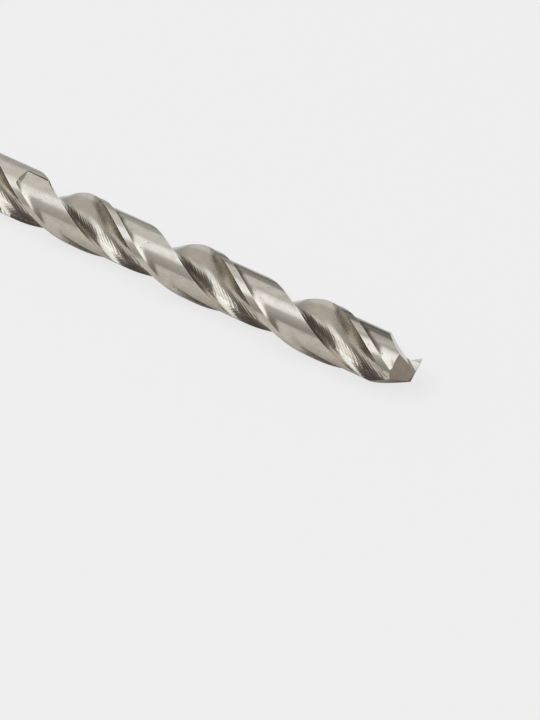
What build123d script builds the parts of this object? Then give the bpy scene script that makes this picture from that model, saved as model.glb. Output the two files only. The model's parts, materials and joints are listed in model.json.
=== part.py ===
from build123d import *
from math import asin, cos, degrees, radians, sin, sqrt, tan
import os

# Twist drill bit: straight cylindrical shank, two right-hand helical flutes,
# relieved lands with narrow guiding margins and a split point.
# The drill lies along X with its point toward +X and the middle of the shank
# end face at the origin.  All lengths are millimetres, all angles degrees.

os.makedirs("parts", exist_ok=True)

# sizes that can be set on their own
drill_diameter = 5.0        # across the margins, and of the shank
overall_length = 86.0       # shank end to the top of the point
flute_length = 52.0         # point to the far end of the flute run-out
runout_length = 7.0         # where the grinding wheel lifts out of the flute
lead_length = 26.5          # advance of a flute in one full turn
web_thickness = 1.57        # core between the two cutting lips
margin_width = 0.66         # full-diameter strip, measured round the land
land_width = 3.46           # margin and relieved land, measured at the relief
relieved_diameter = 4.44    # across the relieved lands
relief_setback = 2.06       # lands left at full diameter past the flute run-out
relief_hollow = 0.6         # radius of the hollow beside the margin
relief_touch = 28.6         # where the relieving wheel first touches, behind the lead
point_angle = 135.0         # included angle of the cutting lips
lip_relief = 10.3           # flank drop behind the lips
roll_angle = 170.0          # where one lip corner stands round the axis
shank_chamfer = 0.4         # break on the shank end
inner_lip_turn = 38.5       # notched lip, round from the outer lip corner
inner_lip_slope = 5.5       # fall of the notched lip from the middle outward
notch_turn = 51.5           # notch floor, round from the outer lip corner
notch_slope = 58.7          # fall of the notch floor
notch_opening = 106.3       # angle between the two faces of the notch
notch_radius = 0.1          # rounding along the notch floor
chisel_half = 0.1           # half of the chisel edge left by the notches

# sizes that follow from them
radius = drill_diameter / 2
relieved_radius = relieved_diameter / 2
web_half = web_thickness / 2
lip_rise = 1 / tan(radians(point_angle / 2))
flank_drop = tan(radians(lip_relief))
lip_offset = degrees(asin(web_half / radius))
apex_height = lip_rise * radius * cos(radians(lip_offset)) - flank_drop * web_half
corner_x = overall_length - apex_height
runout_start = overall_length - flute_length + runout_length
relief_start = runout_start + relief_setback
cutter_end = overall_length + 0.2 * drill_diameter
margin_angle = degrees(margin_width / radius)
land_angle = degrees(land_width / relieved_radius)
past_heel = land_angle + 6
outer = 1.3 * radius
flute_middle = 50
flute_depth = 1.1 * (radius - web_half)
wheel_radius = (runout_length**2 + flute_depth**2) / (2 * flute_depth)


def helixTurn(x):
    # turn of the flutes from the lip corners to a section at x
    return 360 * (x - corner_x) / lead_length


def polar(distance, angle):
    return (distance * cos(radians(angle)), distance * sin(radians(angle)))


def direction(turn, slope):
    # unit direction round the axis by turn, falling back by slope
    across = polar(cos(radians(slope)), turn)
    return Vector(-sin(radians(slope)), across[0], across[1])


def crossPlane(x):
    # cross-section plane at x that turns with the flutes
    turn = roll_angle + helixTurn(x)
    return Plane(origin=(x, 0, 0), x_dir=(0, cos(radians(turn)), sin(radians(turn))), z_dir=(1, 0, 0))


def flankNormal(half_turn):
    # upright of the plane ground behind one lip
    along = polar(lip_rise, half_turn + roll_angle - lip_offset)
    behind = polar(flank_drop, half_turn + roll_angle - lip_offset - 90)
    return Vector(1, along[0] + behind[0], along[1] + behind[1])


def lipAngle(rho):
    # place of a point of the straight lip round the axis, in one cross-section
    reach = sqrt(rho * rho - web_half * web_half)
    return degrees(asin(web_half / rho)) + reach * lip_rise * 360 / lead_length


def turningGuide(start, end):
    # helix that turns a cross-section as it travels along the axis
    way = 1 if end > start else -1
    with BuildLine() as guide:
        Helix(lead_length, abs(end - start), radius, center=(start, 0, 0), direction=(way, 0, 0))
    return guide.wire()


def axisPath(start, end):
    with BuildLine() as path:
        Line((start, 0, 0), (end, 0, 0))
    return path.wire()


# rake side of the flute: the section curve that gives a straight lip
rake_radii = [radius * share for share in (1.12, 1.0, 0.88, 0.76, 0.64, 0.52, 0.44, 0.40)]
rake_points = [polar(rho, lipAngle(rho) - lipAngle(radius)) for rho in rake_radii]
heel_corner = polar(relieved_radius, 180 - land_angle)
inner_lip = direction(roll_angle + inner_lip_turn, inner_lip_slope)
notch_floor = direction(roll_angle + notch_turn, notch_slope)


def fluteSection(shift):
    # outline of one flute cutter, moved outward by shift
    away = Vector(*polar(shift, flute_middle))
    with BuildLine() as outline:
        rake = Spline([Vector(*point) + away for point in rake_points])
        heel = TangentArc(rake @ 1, Vector(*heel_corner) + away, tangent=rake % 1)
        lift = Line(heel @ 1, (heel @ 1) + (heel % 1) * 0.3 * radius)
        ThreePointArc(lift @ 1, Vector(*polar(outer, flute_middle)) + away, rake @ 0)
    return outline.line


# cutter that relieves one land, hollow beside the margin
depth = radius - relieved_radius
hollow_run = sqrt(2 * relief_hollow * depth - depth**2)
hollow_angle = margin_angle + degrees(hollow_run / radius)
with BuildSketch() as relief_face:
    with BuildLine():
        bottom = CenterArc((0, 0), relieved_radius, -past_heel, past_heel - hollow_angle)
        hollow = TangentArc(bottom @ 1, polar(radius, -margin_angle), tangent=bottom % 1)
        side = Line(hollow @ 1, polar(outer, -margin_angle))
        rim = ThreePointArc(
            side @ 1,
            polar(outer, -(margin_angle + past_heel) / 2),
            polar(outer, -past_heel),
        )
        Line(rim @ 1, bottom @ 0)
    make_face()

with BuildSketch() as flute_face:
    add(fluteSection(0))
    make_face()

with BuildSketch() as fluted_section:
    Circle(radius)
    with PolarLocations(0, 2):
        add(flute_face.sketch, mode=Mode.SUBTRACT)

with BuildSketch() as relieved_section:
    add(fluted_section.sketch)
    with PolarLocations(0, 2):
        add(relief_face.sketch, mode=Mode.SUBTRACT)

with BuildPart() as fluted_body:
    with BuildSketch(crossPlane(relief_start)):
        add(fluted_section.sketch)
    sweep(path=axisPath(relief_start, runout_start), binormal=turningGuide(relief_start, runout_start))

with BuildPart() as relieved_body:
    with BuildSketch(crossPlane(relief_start)):
        add(relieved_section.sketch)
    sweep(path=axisPath(relief_start, cutter_end), binormal=turningGuide(relief_start, cutter_end))

# flat that the relieving wheel leaves beside the heel where it comes in
heel_lift = fluteSection(0).edges().filter_by(GeomType.LINE)[0]
heel_way = heel_lift % 0
outward = heel_way.dot(heel_lift @ 0)
heel_top = heel_lift @ 0 + heel_way * (sqrt(outward**2 + radius**2 - relieved_radius**2) - outward)
flat_inside = relieved_radius - 0.12 * radius
flat_height = relieved_radius - 0.002 * radius
flat_end = relief_start + lead_length * (land_angle - relief_touch + 4) / 360
touch_angle = 180 - relief_touch
with BuildSketch() as flat_face:
    with BuildLine():
        rise = Line(heel_lift @ 0, heel_top)
        crest = RadiusArc(rise @ 1, polar(radius, touch_angle), -radius)
        Polyline(
            crest @ 1,
            polar(flat_inside, touch_angle),
            polar(flat_inside, 190 - land_angle),
            rise @ 0,
        )
    make_face()

with BuildPart() as heel_flat:
    with BuildSketch(crossPlane(relief_start)):
        add(flat_face.sketch)
    sweep(path=axisPath(relief_start, flat_end), binormal=turningGuide(relief_start, flat_end))
    touch_turn = roll_angle + helixTurn(relief_start) + touch_angle
    flat_way = direction(touch_turn, 0)
    split(bisect_by=Plane(origin=flat_way * flat_height, z_dir=flat_way), keep=Keep.BOTTOM)
    split(bisect_by=Plane(origin=(0, 0, 0), z_dir=direction(touch_turn + 90, 0)), keep=Keep.BOTTOM)

with BuildPart() as runout:
    for step in range(7):
        back = runout_length * step / 6
        with BuildSketch(crossPlane(runout_start - back)):
            add(fluteSection(wheel_radius - sqrt(wheel_radius**2 - back**2)))
            make_face()
    loft()

with BuildPart() as notch:
    notch_top = Vector(overall_length, 0, 0) + inner_lip * chisel_half
    notch_plane = Plane(origin=notch_top - notch_floor * radius, x_dir=inner_lip, z_dir=notch_floor)
    with BuildSketch(notch_plane) as notch_section:
        with BuildLine():
            Polyline(
                (0, 0),
                (2 * radius, 0),
                polar(3 * radius, -notch_opening / 2),
                polar(2 * radius, -notch_opening),
                close=True,
            )
        make_face()
        fillet(notch_section.vertices().sort_by_distance(notch_plane.origin)[0], notch_radius)
    extrude(amount=4 * radius)

with BuildPart() as twist_drill:
    with BuildSketch(Plane.YZ):
        Circle(radius)
    extrude(amount=runout_start)
    chamfer(twist_drill.edges().group_by(Axis.X)[0], shank_chamfer)
    for half_turn in (0, 180):
        add(runout.part, rotation=(half_turn, 0, 0), mode=Mode.SUBTRACT)
    add(fluted_body.part)
    add(relieved_body.part)
    for half_turn in (0, 180):
        add(heel_flat.part, rotation=(half_turn, 0, 0))
    for half_turn in (0, 180):
        split(bisect_by=Plane(origin=(overall_length, 0, 0), z_dir=flankNormal(half_turn)), keep=Keep.BOTTOM)
    for half_turn in (0, 180):
        add(notch.part, rotation=(half_turn, 0, 0), mode=Mode.SUBTRACT)

twist_drill.part.label = "twist_drill"
export_step(twist_drill.part, "parts/twist_drill.step")
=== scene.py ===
import bpy
import json
from math import acos, asin, atan2, cos, degrees, pi, radians, sin, sqrt, tan
from mathutils import Matrix, Vector

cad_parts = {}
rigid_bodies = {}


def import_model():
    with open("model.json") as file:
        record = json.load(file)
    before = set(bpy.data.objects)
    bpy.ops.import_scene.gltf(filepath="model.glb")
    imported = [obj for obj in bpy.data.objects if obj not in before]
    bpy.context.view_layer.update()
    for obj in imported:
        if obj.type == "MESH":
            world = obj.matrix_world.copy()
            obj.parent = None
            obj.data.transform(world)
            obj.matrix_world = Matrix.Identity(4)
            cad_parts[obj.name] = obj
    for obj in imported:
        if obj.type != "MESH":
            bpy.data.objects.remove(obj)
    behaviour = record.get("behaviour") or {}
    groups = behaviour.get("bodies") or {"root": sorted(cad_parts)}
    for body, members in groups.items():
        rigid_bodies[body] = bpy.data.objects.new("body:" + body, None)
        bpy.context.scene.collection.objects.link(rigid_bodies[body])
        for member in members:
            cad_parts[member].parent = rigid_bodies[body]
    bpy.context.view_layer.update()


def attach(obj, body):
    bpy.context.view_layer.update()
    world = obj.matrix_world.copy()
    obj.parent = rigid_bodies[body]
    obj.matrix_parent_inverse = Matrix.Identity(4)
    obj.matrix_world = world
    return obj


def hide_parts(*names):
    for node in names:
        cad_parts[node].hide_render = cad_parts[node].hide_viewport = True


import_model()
mm = 0.001

# the drill's sizes, the same as in the solid model (millimetres and degrees)
drill = {
    "radius": 2.5,
    "overallLength": 86.0,
    "fluteLength": 52.0,
    "runoutLength": 7.0,
    "helixPitch": 26.5,
    "webHalf": 0.785,
    "marginWidth": 0.66,
    "landWidth": 3.46,
    "relievedRadius": 2.22,
    "reliefSetback": 2.06,
    "reliefHollow": 0.6,
    "reliefTouch": 28.6,         # where the relieving wheel touches first, from the leading edge
    "pointAngle": 135.0,
    "lipRelief": 10.3,
    "rollAngle": 170.0,
    "shankChamfer": 0.4,
    "innerLipTurn": 38.5,
    "innerLipSlope": 5.5,
    "notchTurn": 51.5,
    "notchSlope": 58.7,
    "notchOpening": 106.3,
    "notchRadius": 0.1,
    "chiselHalf": 0.1,
    "fluteMiddle": 50.0,         # the way the milling wheel lifts out of a flute
    # how fine the mesh is: points round half a section, then sections along the drill
    "fluteSteps": 44,
    "liftSteps": 2,
    "heelSteps": 12,
    "landSteps": 20,
    "hollowSteps": 6,
    "marginSteps": 5,
    "runoutSteps": 48,
    "runoutCrowding": 1.6,
    "axialStep": 0.16,
    "weld": 0.0002,
    "sharpAbove": 22.0,
}

radius = drill["radius"]
relieved = drill["relievedRadius"]
webHalf = drill["webHalf"]
lipRise = 1 / tan(radians(drill["pointAngle"] / 2))
flankDrop = tan(radians(drill["lipRelief"]))
lipOffset = degrees(asin(webHalf / radius))
apexHeight = lipRise * radius * cos(radians(lipOffset)) - flankDrop * webHalf
cornerX = drill["overallLength"] - apexHeight
runoutStart = drill["overallLength"] - drill["fluteLength"] + drill["runoutLength"]
reliefStart = runoutStart + drill["reliefSetback"]
cutterEnd = drill["overallLength"] + 1
marginAngle = degrees(drill["marginWidth"] / radius)
landAngle = degrees(drill["landWidth"] / relieved)
fluteDepth = 1.1 * (radius - webHalf)
wheelRadius = (drill["runoutLength"] ** 2 + fluteDepth ** 2) / (2 * fluteDepth)

# the flute's line runs in along the rake, over the floor, up the heel wall and past it
rakeTop = 1.12                   # shares of the radius
rakeSpan = 0.72
rakeSteps = 48
floorSteps = 60
pastHeelSteps = 7
leadPlace = round((rakeTop - 1) / rakeSpan * rakeSteps)
heelPlace = rakeSteps + floorSteps


def polar(distance, angle):
    return Vector((distance * cos(radians(angle)), distance * sin(radians(angle))))


def bearing(point):
    return degrees(atan2(point.y, point.x))


def arcThrough(start, middle, end, steps):
    # points of the circle through three points, the first one left out
    a, b = middle - start, end - start
    cross = 2 * (a.x * b.y - a.y * b.x)
    aSquare, bSquare = a.dot(a), b.dot(b)
    offset = Vector((b.y * aSquare - a.y * bSquare, a.x * bSquare - b.x * aSquare)) / cross
    centre = start + offset
    size = offset.length
    first, mid, last = (atan2(p.y - centre.y, p.x - centre.x) for p in (start, middle, end))
    sweep = (last - first) % (2 * pi)
    if (mid - first) % (2 * pi) > sweep:
        sweep -= 2 * pi
    turns = [first + sweep * i / steps for i in range(1, steps + 1)]
    return [centre + Vector((size * cos(t), size * sin(t))) for t in turns]


def tangentArc(start, along, end, steps):
    # points of the arc that leaves start along a direction and ends at end
    side = Vector((-along.y, along.x)).normalized()
    chord = end - start
    reach = chord.dot(chord) / (2 * chord.dot(side))
    centre = start + side * reach
    first = atan2(start.y - centre.y, start.x - centre.x)
    last = atan2(end.y - centre.y, end.x - centre.x)
    sweep = (last - first) % (2 * pi) if reach > 0 else -((first - last) % (2 * pi))
    turns = [first + sweep * i / steps for i in range(1, steps + 1)]
    points = [centre + abs(reach) * Vector((cos(t), sin(t))) for t in turns]
    leaving = Vector((-sin(turns[-1]), cos(turns[-1]))) * (1 if reach > 0 else -1)
    return points, leaving


def lipAngle(rho):
    # place of a point of the straight lip round the axis, in one cross-section
    reach = sqrt(rho * rho - webHalf * webHalf)
    return degrees(asin(webHalf / rho)) + reach * lipRise * 360 / drill["helixPitch"]


def fluteCurve():
    # one flute's section from past the lead, over the floor, to past the heel
    sizes = [radius * (rakeTop - rakeSpan * i / rakeSteps) for i in range(rakeSteps + 1)]
    rake = [polar(size, lipAngle(size) - lipAngle(radius)) for size in sizes]
    heelPoint = polar(relieved, 180 - landAngle)
    heel, leaving = tangentArc(rake[-1], rake[-1] - rake[-2], heelPoint, floorSteps)
    past = [heel[-1] + leaving * radius * 0.1 * i for i in range(1, pastHeelSteps + 1)]
    return rake + heel + past


def hollowCurve(count):
    # hollow beside the margin, from the relieved land up to the margin
    depth = radius - relieved
    width = sqrt(2 * drill["reliefHollow"] * depth - depth ** 2)
    angle = -marginAngle - degrees(width / radius)
    along = Vector((-sin(radians(angle)), cos(radians(angle))))
    margin = polar(radius, -marginAngle)
    return angle, tangentArc(polar(relieved, angle), along, margin, count)[0]


def pointsAlong(line, start, end, count):
    # points spread along a line of points, between two places counted in points
    made = []
    for i in range(count + 1):
        place = start + (end - start) * (i / count)
        cell = min(int(place), len(line) - 2)
        made.append(line[cell].lerp(line[cell + 1], place - cell))
    return made


def crossing(line, first, step):
    # where a line of points, followed from its first or last point, enters the blank
    cell = first
    while line[cell].length > radius:
        cell += step
    near, far = line[cell], line[cell - step]
    low, high = 0.0, 1.0
    for _ in range(30):
        middle = (low + high) / 2
        inside = near.lerp(far, middle).length < radius
        low, high = (middle, high) if inside else (low, middle)
    return cell - step * low


def wheelShift(x):
    # how far the wheel has lifted out of the flute at x
    back = max(runoutStart - x, 0)
    return wheelRadius - sqrt(wheelRadius ** 2 - back ** 2)


def exitPlace():
    # where the wheel has left the blank
    low, high = 0.0, drill["runoutLength"]
    for _ in range(40):
        back = (low + high) / 2
        shift = polar(wheelShift(runoutStart - back), drill["fluteMiddle"])
        inside = min((p + shift).length for p in wheelLine) < radius
        low, high = (back, high) if inside else (low, back)
    return runoutStart - high


wheelLine = fluteCurve()
fullPlace = crossing(wheelLine, len(wheelLine) - 1, -1)
splitAngle = -drill["reliefTouch"] - degrees(acos(relieved / radius))
exitX = exitPlace()


def flatPlace(touch):
    # where the heel wall meets the flat beside it: its foot, once the flat has run out
    if touch < -landAngle:
        return heelPlace
    facing = polar(1, 180 + touch)
    for place in range(heelPlace, len(wheelLine) - 1):
        near, far = (wheelLine[i].dot(facing) - relieved for i in (place, place + 1))
        if far >= 0:
            return place + max(-near, 0) / (far - near)
    return len(wheelLine) - 1


def landAngles(leadAngle, heelAngle):
    # places of the land's points from heel to lead, spread as on the relieved land
    split = max(heelAngle, splitAngle)
    hollowAngle, hollow = hollowCurve(drill["hollowSteps"])
    steps = drill["heelSteps"]
    angles = [heelAngle + (split - heelAngle) * i / steps for i in range(1, steps + 1)]
    steps = drill["landSteps"]
    angles += [split + (hollowAngle - split) * i / steps for i in range(steps + 1)]
    angles += [bearing(p) for p in hollow]
    steps = drill["marginSteps"]
    angles += [-marginAngle + (leadAngle + marginAngle) * i / steps for i in range(1, steps)]
    return angles


def fullSection(x):
    # half of the section at x where the land is at full size: flute, heel and land
    lifted = [p + polar(wheelShift(x), drill["fluteMiddle"]) for p in wheelLine]
    nearest = min(range(len(lifted)), key=lambda i: lifted[i].length)
    if lifted[nearest].length >= radius - 1e-6:
        lead = heel = nearest
    else:
        lead = crossing(lifted, 0, 1)
        heel = crossing(lifted, len(lifted) - 1, -1)
    foot = min(heelPlace, heel)
    points = pointsAlong(lifted, lead, foot, drill["fluteSteps"])
    points += pointsAlong(lifted, foot, heel, drill["liftSteps"])[1:]
    leadAngle, heelAngle = bearing(points[0]), bearing(points[-1]) - 180
    angles = landAngles(leadAngle, heelAngle)
    # toward the shank the land's points spread evenly
    spread = min(max((runoutStart - x) / (runoutStart - exitX), 0), 1)
    count = len(angles) + 1
    for i, angle in enumerate(angles):
        even = heelAngle + (leadAngle - heelAngle) * (i + 1) / count
        points.append(polar(radius, 180 + angle + (even - angle) * spread))
    return points


def relievedSection(x):
    # half of the section at x where the land is relieved: flute, heel, flat, land and margin
    touch = -drill["reliefTouch"] - 360 * (x - reliefStart) / drill["helixPitch"]
    flatEnd = flatPlace(touch)
    points = pointsAlong(wheelLine, leadPlace, heelPlace, drill["fluteSteps"])
    points += pointsAlong(wheelLine, heelPlace, min(flatEnd, fullPlace), drill["liftSteps"])[1:]
    start = bearing(points[-1]) - 180
    steps = drill["heelSteps"]
    if flatEnd > fullPlace:
        edge = touch - degrees(acos(relieved / radius))
        points += [polar(radius, 180 + start + (edge - start) * i / steps)
                   for i in range(1, steps + 1)]
        start = edge
    else:
        points += [points[-1]] * steps
    hollowAngle, hollow = hollowCurve(drill["hollowSteps"])
    steps = drill["landSteps"]
    for i in range(steps + 1):
        angle = start + (hollowAngle - start) * i / steps
        onFlat = start < angle < touch
        reach = relieved / cos(radians(touch - angle)) if onFlat else relieved
        points.append(polar(reach, 180 + angle))
    points += [-p for p in hollow]
    steps = drill["marginSteps"]
    points += [polar(radius, 180 - marginAngle * (1 - i / steps)) for i in range(1, steps)]
    return points


def meshObject(name, vertices, faces, material):
    mesh = bpy.data.meshes.new(name)
    mesh.from_pydata([tuple(v) for v in vertices], [], faces)
    mesh.update()
    mesh.materials.append(material)
    thing = bpy.data.objects.new(name, mesh)
    bpy.context.collection.objects.link(thing)
    return thing


surfaces = ("shank", "flute", "land")


def straightBody(material):
    # the body before its sections are turned, with the number of each face's surface
    plain = fullSection(exitX)
    chamfered = [p * (1 - drill["shankChamfer"] / radius) for p in plain]
    sections = [(0.0, chamfered), (drill["shankChamfer"], plain), (exitX, plain)]
    plainRings = len(sections) - 1
    steps = drill["runoutSteps"]
    places = [exitX + (runoutStart - exitX) * (i / steps) ** drill["runoutCrowding"]
              for i in range(1, steps + 1)]
    steps = int(drill["reliefSetback"] / drill["axialStep"])
    places += [runoutStart + (reliefStart - runoutStart) * i / steps for i in range(1, steps + 1)]
    sections += [(x, fullSection(x)) for x in places]
    fullRings = len(sections) - 1
    steps = int((cutterEnd - reliefStart) / drill["axialStep"])
    places = [reliefStart + (cutterEnd - reliefStart) * i / steps for i in range(steps + 1)]
    sections += [(x, relievedSection(x)) for x in places]
    vertices, faces, kinds = [], [], []
    for x, half in sections:
        vertices += [(x * mm, p.x * mm, p.y * mm) for p in half + [-p for p in half]]
    count = len(plain) * 2
    fluteCount = drill["fluteSteps"] + drill["liftSteps"]
    marginFrom = len(plain) - drill["marginSteps"]
    for ring in range(len(sections) - 1):
        for i in range(count):
            a, b = ring * count + i, ring * count + (i + 1) % count
            faces.append((a, b, b + count, a + count))
            place = i % len(plain)
            kind = "shank"
            if ring >= plainRings and place < fluteCount:
                kind = "flute"
            elif ring >= fullRings and place < marginFrom:
                kind = "land"
            kinds.append(surfaces.index(kind))
    faces.append(tuple(range(count))[::-1])
    faces.append(tuple(range(len(vertices) - count, len(vertices))))
    kinds += [surfaces.index("shank"), surfaces.index("flute")]
    body = meshObject("drillBody", vertices, faces, material)
    body.data.attributes.new("surface", "INT", "FACE").data.foreach_set("value", kinds)
    print("straight body:", len(sections), "sections of", count, "points")
    return body


class Flow:
    # a socket of a node tree; arithmetic on it adds Math nodes to the tree
    def __init__(self, tree, socket=None):
        self.tree = tree
        self.socket = socket

    def add(self, kind, settings=None, inputs=None, out=0):
        # any other node: its type, its settings, then values or links by socket
        node = self.tree.nodes.new(kind)
        for name, value in (settings or {}).items():
            if name == "stops":
                fillRamp(node.color_ramp, value)
            else:
                setattr(node, name, value)
        for key, value in (inputs or {}).items():
            if isinstance(value, Flow):
                self.tree.links.new(value.socket, node.inputs[key])
            else:
                node.inputs[key].default_value = value
        return Flow(self.tree, node.outputs[out]) if node.outputs else None

    def other(self, out):
        # another output of the same node
        return Flow(self.tree, self.socket.node.outputs[out])

    def maths(self, operation, *values):
        return self.add("ShaderNodeMath", {"operation": operation}, dict(enumerate(values)))

    def __add__(self, value): return self.maths("ADD", self, value)
    def __radd__(self, value): return self.maths("ADD", value, self)
    def __sub__(self, value): return self.maths("SUBTRACT", self, value)
    def __rsub__(self, value): return self.maths("SUBTRACT", value, self)
    def __mul__(self, value): return self.maths("MULTIPLY", self, value)
    def __rmul__(self, value): return self.maths("MULTIPLY", value, self)
    def __truediv__(self, value): return self.maths("DIVIDE", self, value)
    def __rtruediv__(self, value): return self.maths("DIVIDE", value, self)
    def __pow__(self, value): return self.maths("POWER", self, value)


def fillRamp(ramp, stops):
    while len(ramp.elements) < len(stops):
        ramp.elements.new(1.0)
    for element, (place, colour) in zip(ramp.elements, stops):
        element.position = place
        element.color = (*colour, 1.0)


def emptyFlow(owner):
    # the node tree of a material or a world, cleared
    owner.use_nodes = True
    owner.node_tree.nodes.clear()
    return Flow(owner.node_tree)


def ease(value, low, high, first=0.0, last=1.0):
    # smooth change from first to last while value goes from low to high
    return value.add("ShaderNodeMapRange", {"interpolation_type": "SMOOTHSTEP"}, {
        "Value": value, "From Min": low, "From Max": high, "To Min": first, "To Max": last})


def mixed(share, first, second):
    # a Mix node has its colours at sockets 6 and 7, and what it makes of them at output 2
    first, second = ((*c, 1.0) if isinstance(c, tuple) else c for c in (first, second))
    return share.add("ShaderNodeMix", {"data_type": "RGBA"}, {
        0: share, 6: first, 7: second}, out=2)


def vectorMaths(operation, vector, other=None):
    inputs = {0: vector} if other is None else {0: vector, 1: other}
    return vector.add("ShaderNodeVectorMath", {"operation": operation}, inputs)


# looks: bright ground high-speed steel; lengths in millimetres, heights in thousandths
finish = {
    "steel": (0.64, 0.607, 0.543),
    "warmSteel": (0.58, 0.532, 0.46),
    "mottleScale": 0.9,
    "edgeWidth": (0.03, 0.12),
    "edgeShine": 0.35,
    "edgeColour": (0.86, 0.83, 0.77),
    "fluteRoughness": 0.09,
    "landRoughness": 0.19,
    "shankRoughness": 0.17,
    "pointRoughness": 0.22,
    "hollowPolish": 0.6,
    "speckSpacing": 0.45,
    "speckSize": (0.035, 0.075),
    "speckShade": 0.75,
    "speckDepth": 2.0,
    "speckColour": (0.1, 0.08, 0.06),
    "millingStep": 0.24,
    "millingLean": 0.6,
    "millingHeight": 12.0,
    "millingShade": 0.55,
    # the milling colour also paints shade toward the heel
    "millingMarkAndHeelShadeColour": (0.14, 0.12, 0.1),
    "stainShade": 0.3,
    "stainColour": (0.36, 0.31, 0.25),
    # painted reflection on the rake: its share and colour
    "rakePaintedReflection": 0.7,
    "rakePaintedReflectionColour": (0.4, 0.345, 0.285),
    "lineSpacing": 0.07,
    "lineHeight": 1.6,
    "grainSpacing": 0.09,
    "grainHeight": 1.6,
    "grainShade": 0.3,
    "grainColour": (0.3, 0.27, 0.23),
}


class Steel:
    # a steel finish being put together: places on the drill, then colour, polish and relief
    def __init__(self, name):
        self.material = bpy.data.materials.new(name)
        self.flow = emptyFlow(self.material)
        metres = self.flow.add("ShaderNodeTexCoord", out="Object")
        self.place = self.flow.add("ShaderNodeVectorMath", {"operation": "SCALE"}, {
            0: metres, "Scale": 1 / mm})
        self.x = self.flow.add("ShaderNodeSeparateXYZ", {}, {0: self.place})
        # the places as they were before the flutes were wound
        helix = self.x.maths("MAXIMUM", self.x, exitX) - cornerX
        turn = helix * (-2 * pi / drill["helixPitch"]) - radians(drill["rollAngle"])
        self.section = self.flow.add("ShaderNodeVectorRotate", {"rotation_type": "X_AXIS"}, {
            "Vector": self.place, "Angle": turn})
        across = self.flow.add("ShaderNodeSeparateXYZ", {}, {0: self.section})
        y, z = across.other("Y"), across.other("Z")
        angle = y.maths("ARCTAN2", z, y)
        # nought at the leading edge of a land, growing over the flute, falling over the land
        self.angle = angle.maths("WRAP", angle, pi - radians(landAngle), -radians(landAngle))
        # across a flute from the leading edge to the heel, nought in the middle
        reach = y.maths("SQRT", y ** 2.0 + z ** 2.0)
        self.chord = reach * self.angle.maths("SINE", self.angle - pi / 4)
        self.height = None
        self.normal = None

    def noise(self, way, stretch, detail=2.0):
        # noise over a stretched copy of the places
        return self.flow.add("ShaderNodeTexNoise", {}, {
            "Vector": vectorMaths("MULTIPLY", way, stretch), "Scale": 1.0, "Detail": detail})

    def lift(self, height):
        self.height = self.height + height if self.height else height

    def tint(self, share, colour):
        self.colour = mixed(share, self.colour, colour)

    def mottle(self, roughness):
        # slow change of tone and polish over the steel
        scale = finish["mottleScale"]
        cloud = self.noise(self.place, (scale, scale * 1.6, scale * 1.6), 4.0)
        self.colour = mixed(ease(cloud, 0.35, 0.7), finish["steel"], finish["warmSteel"])
        self.roughness = ease(cloud, 0.3, 0.75, roughness * 0.85, roughness * 1.25)

    def specks(self):
        # small pits, dark and dull
        spacing = finish["speckSpacing"]
        small, large = finish["speckSize"]
        cell = self.flow.add("ShaderNodeTexVoronoi", {}, {
            "Vector": self.place, "Scale": 1 / spacing})
        pick = self.flow.add("ShaderNodeSeparateColor", {}, {0: cell.other("Color")})
        spot = ease(cell, large / spacing, small / spacing) * ease(pick, 0.3, 0.8)
        self.tint(spot * finish["speckShade"], finish["speckColour"])
        self.roughness = self.roughness + spot * 0.25
        self.lift(spot * -finish["speckDepth"])

    def grain(self, strength=1.0):
        size = 1 / finish["grainSpacing"]
        grit = self.noise(self.place, (size, size, size), 1.0)
        self.lift(grit * (finish["grainHeight"] * strength))
        self.tint(ease(grit, 0.45, 0.75) * finish["grainShade"] * strength, finish["grainColour"])

    def lines(self, way, stretch, strength=1.0):
        # fine lines from a wheel or from chips, drawn out where the stretch is small
        self.lift(self.noise(way, stretch) * (finish["lineHeight"] * strength))

    def worn(self, gap):
        # a brighter, smoother line along a fluted edge, gap being the distance from it
        narrow, wide = finish["edgeWidth"]
        near = ease(gap, wide, narrow) * ease(self.x, exitX, exitX + 2)
        self.tint(near * finish["edgeShine"], finish["edgeColour"])
        self.roughness = self.roughness * (1 - near * 0.3)

    def polished(self, share):
        # rounds a hollow over, as polishing leaves it
        outward = vectorMaths("NORMALIZE", vectorMaths("MULTIPLY", self.place, (0, 1, 1)))
        facing = self.flow.add("ShaderNodeNewGeometry", out="Normal")
        # a Mix node has its vectors at sockets 4 and 5, and what it makes of them at output 1
        between = self.flow.add("ShaderNodeMix", {"data_type": "VECTOR"}, {
            0: share, 4: facing, 5: outward}, out=1)
        self.normal = vectorMaths("NORMALIZE", between)

    def done(self):
        relief = {"Height": self.height, "Strength": 1.0, "Distance": mm * mm}
        if self.normal:
            relief["Normal"] = self.normal
        shader = self.flow.add("ShaderNodeBsdfPrincipled", {}, {
            "Base Color": self.colour, "Metallic": 1.0, "Roughness": self.roughness,
            "Normal": self.flow.add("ShaderNodeBump", {}, relief)})
        self.flow.add("ShaderNodeOutputMaterial", {}, {"Surface": shader})
        return self.material


lineSize = 1 / finish["lineSpacing"]
ringStretch = (lineSize, 0.35, 0.35)     # lines round the axis, from cylindrical grinding


def landFinish():
    steel = Steel("landSteel")
    steel.mottle(finish["landRoughness"])
    steel.specks()
    steel.grain()
    steel.lines(steel.place, ringStretch, 0.35)
    steel.worn((steel.angle + radians(landAngle)) * relieved)
    hollow = radians(hollowCurve(1)[0])
    steel.polished(ease(steel.angle, hollow - 0.03, hollow + 0.06, 0.0, finish["hollowPolish"]))
    return steel.done()


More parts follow.
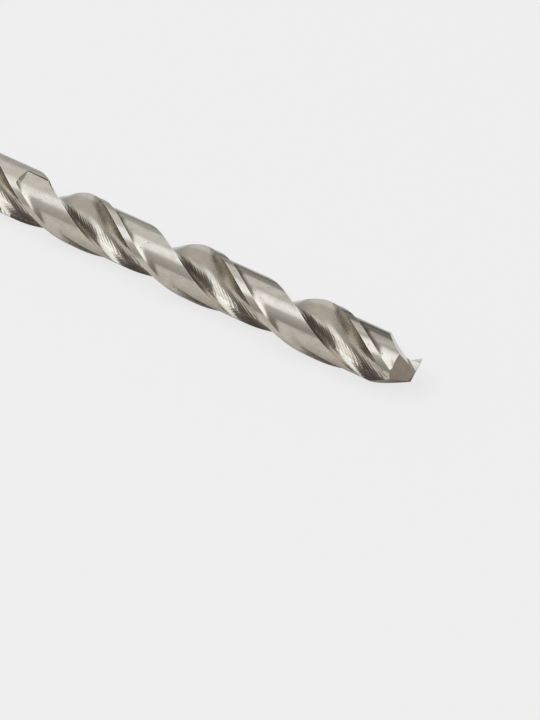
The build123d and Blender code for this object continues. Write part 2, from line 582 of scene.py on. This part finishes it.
def fluteFinish():
    steel = Steel("fluteSteel")
    steel.mottle(finish["fluteRoughness"])
    steel.lines(steel.section, (0.12, lineSize, lineSize))
    # marks of the milling cutter's teeth, a little steeper than the helix, deepest at the heel,
    # and painted shade that darkens the flute toward the heel
    past = steel.angle * radius
    across = steel.chord - steel.x * finish["millingLean"]
    wave = across * (2 * pi / finish["millingStep"])
    uneven = ease(steel.noise(steel.section, (0.8, 3.0, 3.0)), 0.3, 0.7, 0.3, 1.0)
    depth = ease(past, 0.4, 1.4, 0.12, 0.24) + ease(past, 2.5, 3.3, 0.0, 0.66)
    teeth = wave.maths("SINE", wave) * uneven * depth
    steel.lift(teeth * (finish["millingHeight"] / 2))
    # painted shade: the flute darkens toward the heel wall with depth; the teeth's dark streaks
    # are the marks' own colour
    steel.tint(depth * 0.15 - teeth * finish["millingShade"], finish["millingMarkAndHeelShadeColour"])
    steel.grain(1.3)
    stain = ease(steel.noise(steel.section, (0.9, 2.2, 2.2), 4.0), 0.42, 0.62)
    steel.tint(stain * finish["stainShade"], finish["stainColour"])
    steel.roughness = steel.roughness + stain * 0.08
    # the rake beside the leading edge is duller, and a painted reflection makes it browner and
    # darker
    rake = ease(past, 2.1, 0.9)
    steel.tint(rake * finish["rakePaintedReflection"], finish["rakePaintedReflectionColour"])
    steel.roughness = steel.roughness + rake * 0.1
    steel.worn(steel.angle * radius)
    steel.worn((pi - radians(landAngle) - steel.angle) * radius)
    return steel.done()


def shankFinish():
    # the shank and the margins, ground last and left brightest
    steel = Steel("shankSteel")
    steel.mottle(finish["shankRoughness"])
    steel.specks()
    steel.lines(steel.place, ringStretch)
    steel.grain(0.5)
    steel.worn(steel.angle * -radius)
    return steel.done()


def pointFinish():
    steel = Steel("pointSteel")
    steel.mottle(finish["pointRoughness"])
    steel.lines(steel.place, (lineSize * 0.5, lineSize, 0.5))
    steel.grain()
    return steel.done()


def windingTree():
    # turns each section round the axis by the helix, then gives each surface its finish
    tree = bpy.data.node_groups.new("windFlutes", "GeometryNodeTree")
    face = tree.interface
    face.new_socket("Geometry", in_out="INPUT", socket_type="NodeSocketGeometry")
    for name in ("Pitch", "Corner", "Roll", "Straight Below", "Weld"):
        face.new_socket(name, in_out="INPUT", socket_type="NodeSocketFloat")
    for name in surfaces:
        face.new_socket(name + " finish", in_out="INPUT", socket_type="NodeSocketMaterial")
    face.new_socket("Geometry", in_out="OUTPUT", socket_type="NodeSocketGeometry")
    flow = Flow(tree)
    given = flow.add("NodeGroupInput")
    place = flow.add("GeometryNodeInputPosition")
    along = flow.add("ShaderNodeSeparateXYZ", {}, {0: place})
    helix = along.maths("MAXIMUM", along, given.other("Straight Below")) - given.other("Corner")
    turn = given.other("Roll") + helix * (2 * pi) / given.other("Pitch")
    wound = flow.add("ShaderNodeVectorRotate", {"rotation_type": "X_AXIS"}, {
        "Vector": place, "Angle": turn})
    shape = flow.add("GeometryNodeSetPosition", {}, {"Geometry": given, "Position": wound})
    shape = flow.add("GeometryNodeMergeByDistance", {}, {
        "Geometry": shape, "Distance": given.other("Weld")})
    shape = flow.add("GeometryNodeRealizeInstances", {}, {"Geometry": shape})
    surface = flow.add("GeometryNodeInputNamedAttribute", {"data_type": "INT"}, {
        "Name": "surface"})
    for number, name in enumerate(surfaces):
        chosen = flow.add("FunctionNodeCompare", {"data_type": "INT", "operation": "EQUAL"}, {
            "A": surface, "B": number})
        shape = flow.add("GeometryNodeSetMaterial", {}, {
            "Geometry": shape, "Selection": chosen, "Material": given.other(name + " finish")})
    flow.add("NodeGroupOutput", {}, {"Geometry": shape})
    return tree


def applied(thing):
    # the evaluated object as a plain mesh, its modifiers removed
    graph = bpy.context.evaluated_depsgraph_get()
    mesh = bpy.data.meshes.new_from_object(thing.evaluated_get(graph))
    thing.modifiers.clear()
    thing.data = mesh


def wind(body, finishes):
    tree = windingTree()
    modifier = body.modifiers.new("wind", "NODES")
    modifier.node_group = tree
    values = {
        "Pitch": drill["helixPitch"] * mm, "Corner": cornerX * mm,
        "Roll": radians(drill["rollAngle"]), "Straight Below": exitX * mm,
        "Weld": drill["weld"] * mm}
    values.update({name + " finish": steel for name, steel in zip(surfaces, finishes)})
    for item in tree.interface.items_tree:
        if item.in_out == "INPUT" and item.name in values:
            modifier[item.identifier] = values[item.name]
    applied(body)
    print("flutes wound:", len(body.data.polygons), "faces")


def turned(slope, turn):
    # unit direction round the axis by turn, falling back by slope
    across = polar(cos(radians(slope)), turn)
    return Vector((-sin(radians(slope)), across.x, across.y))


def prism(name, corner, xDir, zDir, outline, height, material):
    # solid over an outline in the plane at corner
    yDir = zDir.cross(xDir)
    low = [corner + xDir * p.x + yDir * p.y for p in outline]
    high = [p + zDir * height for p in low]
    count = len(outline)
    faces = [(i, (i + 1) % count, (i + 1) % count + count, i + count) for i in range(count)]
    faces += [tuple(range(count))[::-1], tuple(range(count, 2 * count))]
    return meshObject(name, [v * mm for v in low + high], faces, material)


def flankBlock(halfTurn, material):
    # everything above the plane ground behind one lip
    facing = halfTurn + drill["rollAngle"] - lipOffset
    along = polar(lipRise, facing)
    behind = polar(flankDrop, facing - 90)
    upright = Vector((1, along.x + behind.x, along.y + behind.y)).normalized()
    xDir = upright.orthogonal().normalized()
    size = 3.6 * radius
    square = [Vector(p) * size for p in ((-1, -1), (1, -1), (1, 1), (-1, 1))]
    tip = Vector((drill["overallLength"], 0, 0))
    return prism("flankBlock", tip, xDir, upright, square, size, material)


def notchWedge(halfTurn, material):
    # wheel that thins the web, its rim rounded
    roll = drill["rollAngle"] + halfTurn
    innerLip = turned(drill["innerLipSlope"], roll + drill["innerLipTurn"])
    floorWay = turned(drill["notchSlope"], roll + drill["notchTurn"])
    top = Vector((drill["overallLength"], 0, 0)) + innerLip * drill["chiselHalf"]
    opening = drill["notchOpening"]
    size = drill["notchRadius"]
    cut = size / tan(radians(opening / 2))
    centre = polar(size / sin(radians(opening / 2)), -opening / 2)
    start, nearest = polar(cut, 0), polar(centre.length - size, -opening / 2)
    outline = [start] + arcThrough(start, nearest, polar(cut, -opening), 10)
    outline += [polar(2 * radius, -opening), polar(3 * radius, -opening / 2), polar(2 * radius, 0)]
    corner = top - floorWay * radius
    return prism("notchWedge", corner, innerLip, floorWay, outline, 4 * radius, material)


def cutAway(body, cutter):
    modifier = body.modifiers.new("cut", "BOOLEAN")
    modifier.operation, modifier.solver, modifier.object = "DIFFERENCE", "EXACT", cutter
    modifier.material_mode = "TRANSFER"
    applied(body)
    bpy.data.objects.remove(cutter)


def makeDrill():
    shankSteel, pointSteel = shankFinish(), pointFinish()
    body = straightBody(shankSteel)
    wind(body, (shankSteel, fluteFinish(), landFinish()))
    for grind in (flankBlock, notchWedge):
        for halfTurn in (0, 180):
            cutAway(body, grind(halfTurn, pointSteel))
    mesh = body.data
    mesh.name = body.name
    mesh.polygons.foreach_set("use_smooth", [True] * len(mesh.polygons))
    mesh.set_sharp_from_angle(angle=radians(drill["sharpAbove"]))
    mesh.update()
    print("point ground:", len(mesh.vertices), "vertices,", [m.name for m in mesh.materials])
    return body


body = makeDrill()
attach(body, "root")
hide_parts("twist_drill")

# stage, lamp and camera: lengths in metres, directions by azimuth and elevation
studio = {
    "floorHeight": -radius * mm,
    "floorReach": 3.0,
    "paper": (0.9, 0.9, 0.895),
    "paperShown": 0.875,         # how bright the paper looks, and how much of it is plain
    "plainShare": 0.86,
    # the paper as the steel mirrors it, in painted tones, with a painted shadow dark under the
    # drill and painted light in a brighter band behind it: metres across from the drill's axis,
    # and colour
    "paintedMirroredPaper": (
        (-0.03, (0.74, 0.73, 0.71)), (-0.008, (0.76, 0.75, 0.73)), (-0.0045, (0.72, 0.7, 0.67)),
        (-0.0028, (0.63, 0.6, 0.57)), (-0.001, (0.36, 0.33, 0.31)), (0.001, (0.12, 0.1, 0.095)),
        (0.003, (0.4, 0.4, 0.4)), (0.006, (0.86, 0.9, 0.94)), (0.01, (0.86, 0.9, 0.94)),
        (0.017, (0.62, 0.64, 0.66)), (0.03, (0.46, 0.47, 0.48))),
    "mirroredSpan": 0.04,
    "mirroredShare": 0.9,
    "paintedShadePastTip": (0.088, 0.104),   # where the mirrored paper turns darker past the tip, a painted shade that the flank mirrors
    # colour of the painted shade past the tip
    "paintedShadeColourPastTip": (0.34, 0.3, 0.27),
    "walls": (0.56, 0.55, 0.54),
    "zenith": (0.5, 0.5, 0.5),
    # parts of the room seen in the steel: direction, outer and inner angle, colour
    "room": (
        ((178, 24), 52, 24, (0.82, 0.83, 0.83)),
        ((155, 44), 30, 14, (0.86, 0.86, 0.85)),
        ((-92, 4), 38, 12, (0.26, 0.25, 0.235)),
        ((60, 48), 26, 8, (0.95, 0.95, 0.94)),
        ((14, 2), 45, 20, (0.36, 0.32, 0.28)),
        ((150, 78), 20, 9, (0.27, 0.26, 0.24)),
        ((102, 60), 24, 10, (0.17, 0.155, 0.14)),
        ((106, 32), 22, 9, (0.12, 0.105, 0.095)),
        ((108, 6), 19, 9, (0.12, 0.105, 0.095)),
        ((-10, 76), 24, 12, (1.4, 1.44, 1.48)),
        ((-141, 55), 24, 10, (1.25, 1.3, 1.36)),
        ((-92, 60), 30, 20, (1.55, 1.58, 1.6)),
        ((-76, 20), 24, 12, (0.16, 0.14, 0.125)),
        ((-42, 46), 27, 18, (0.12, 0.105, 0.1)),
        ((-62, 34), 21, 13, (0.1, 0.088, 0.08)),
    ),
    "backdrop": 0.87,
    "boxDirection": (-117, 62),
    "boxTarget": (0.065, 0, 0),
    "boxDistance": 0.6,
    "boxSize": (0.5, 0.4),
    "boxLevel": 1.2,
    "sensor": 36,
    "lens": 162.04,
    # the camera's place in drill radii, from the axis at the lip corners
    "cameraPlace": (34.86866524, -52.99814076, 49.88512859),
    "cameraLook": (-0.47864814, 0.62535688, -0.61629922),
}


def paperMaterial():
    material = bpy.data.materials.new("paleFloor")
    flow = emptyFlow(material)
    lit = flow.add("ShaderNodeBsdfDiffuse", {}, {"Color": (*studio["paper"], 1.0)})
    shown = flow.add("ShaderNodeEmission", {}, {"Strength": studio["paperShown"]})
    place = flow.add("ShaderNodeSeparateXYZ", {}, {
        0: flow.add("ShaderNodeTexCoord", out="Object")})
    # what the steel mirrors is painted: a painted shadow under the drill, painted light in a band
    # behind it, and painted shade past the tip
    span = studio["mirroredSpan"]
    stops = [(0.5 + across / (2 * span), colour) for across, colour in studio["paintedMirroredPaper"]]
    tone = flow.add("ShaderNodeValToRGB", {"stops": stops}, {
        0: place.other("Y") / (2 * span) + 0.5})
    # painted shade: the mirrored paper darkens past the tip
    near, far = studio["paintedShadePastTip"]
    pastTipShadeMask = flow.add("ShaderNodeMapRange", {}, {
        "Value": place, "From Min": near, "From Max": far})
    tone = mixed(pastTipShadeMask, tone, studio["paintedShadeColourPastTip"])
    mirrored = flow.add("ShaderNodeEmission", {}, {"Color": tone})
    rays = flow.add("ShaderNodeLightPath")
    both = flow.add("ShaderNodeMixShader", {}, {
        0: rays.other("Is Glossy Ray") * studio["mirroredShare"], 1: lit, 2: mirrored})
    both = flow.add("ShaderNodeMixShader", {}, {
        0: rays.other("Is Camera Ray") * studio["plainShare"], 1: both, 2: shown})
    flow.add("ShaderNodeOutputMaterial", {}, {"Surface": both})
    return material


def studioFloor():
    reach = studio["floorReach"]
    corners = ((-reach, -reach), (reach, -reach), (reach, reach), (-reach, reach))
    vertices = [(x, y, studio["floorHeight"]) for x, y in corners]
    return meshObject("floor", vertices, [(0, 1, 2, 3)], paperMaterial())


def skyward(azimuth, elevation):
    level = cos(radians(elevation))
    return Vector((cos(radians(azimuth)) * level, sin(radians(azimuth)) * level,
                   sin(radians(elevation))))


def studioWorld():
    # to the eye a plain pale backdrop, to the steel a room of lighter and darker parts
    world = bpy.data.worlds.new("studio")
    bpy.context.scene.world = world
    flow = emptyFlow(world)
    way = vectorMaths("NORMALIZE", flow.add("ShaderNodeTexCoord"))
    up = flow.add("ShaderNodeSeparateXYZ", {}, {0: way}).other("Z")
    rise = flow.add("ShaderNodeMapRange", {}, {"Value": up, "From Min": 0.5, "From Max": 1.0})
    shade = mixed(rise, studio["walls"], studio["zenith"])
    for place, outside, inside, colour in studio["room"]:
        toward = flow.add("ShaderNodeVectorMath", {"operation": "DOT_PRODUCT"}, {
            0: way, 1: skyward(*place)}, out="Value")
        near = ease(toward, cos(radians(outside)), cos(radians(inside)))
        shade = mixed(near, shade, colour)
    room = flow.add("ShaderNodeBackground", {}, {"Color": shade, "Strength": 1.0})
    seen = flow.add("ShaderNodeBackground", {}, {
        "Color": (1, 1, 1, 1), "Strength": studio["backdrop"]})
    straight = flow.add("ShaderNodeLightPath").other("Is Camera Ray")
    both = flow.add("ShaderNodeMixShader", {}, {0: straight, 1: room, 2: seen})
    flow.add("ShaderNodeOutputWorld", {}, {"Surface": both})


def softbox():
    # a flat lamp facing the drill, its long side along it
    width, depth = studio["boxSize"]
    light = bpy.data.lights.new("softbox", "AREA")
    light.shape = "RECTANGLE"
    light.size, light.size_y = width, depth
    light.energy = studio["boxLevel"] * pi * width * depth
    lamp = bpy.data.objects.new("softbox", light)
    bpy.context.collection.objects.link(lamp)
    back = skyward(*studio["boxDirection"])
    across = back.cross(Vector((1, 0, 0))).normalized()
    lamp.matrix_world = Matrix((across.cross(back), across, back)).transposed().to_4x4()
    lamp.location = Vector(studio["boxTarget"]) + back * studio["boxDistance"]
    lamp.visible_glossy = False


def placeCamera():
    camera = bpy.data.cameras.new("camera")
    camera.sensor_fit = "HORIZONTAL"
    camera.sensor_width = studio["sensor"]
    camera.lens = studio["lens"]
    camera.clip_start = 0.01
    view = bpy.data.objects.new("camera", camera)
    bpy.context.collection.objects.link(view)
    x, y, z = (radius * c for c in studio["cameraPlace"])
    view.location = ((cornerX + x) * mm, y * mm, z * mm)
    look = Vector(studio["cameraLook"])
    view.rotation_euler = look.to_track_quat("-Z", "Y").to_euler()
    bpy.context.scene.camera = view


floor = studioFloor()
studioWorld()
softbox()
placeCamera()
bpy.context.scene.view_settings.view_transform = "Standard"
print("studio set:", len(studio["room"]), "parts of the room")
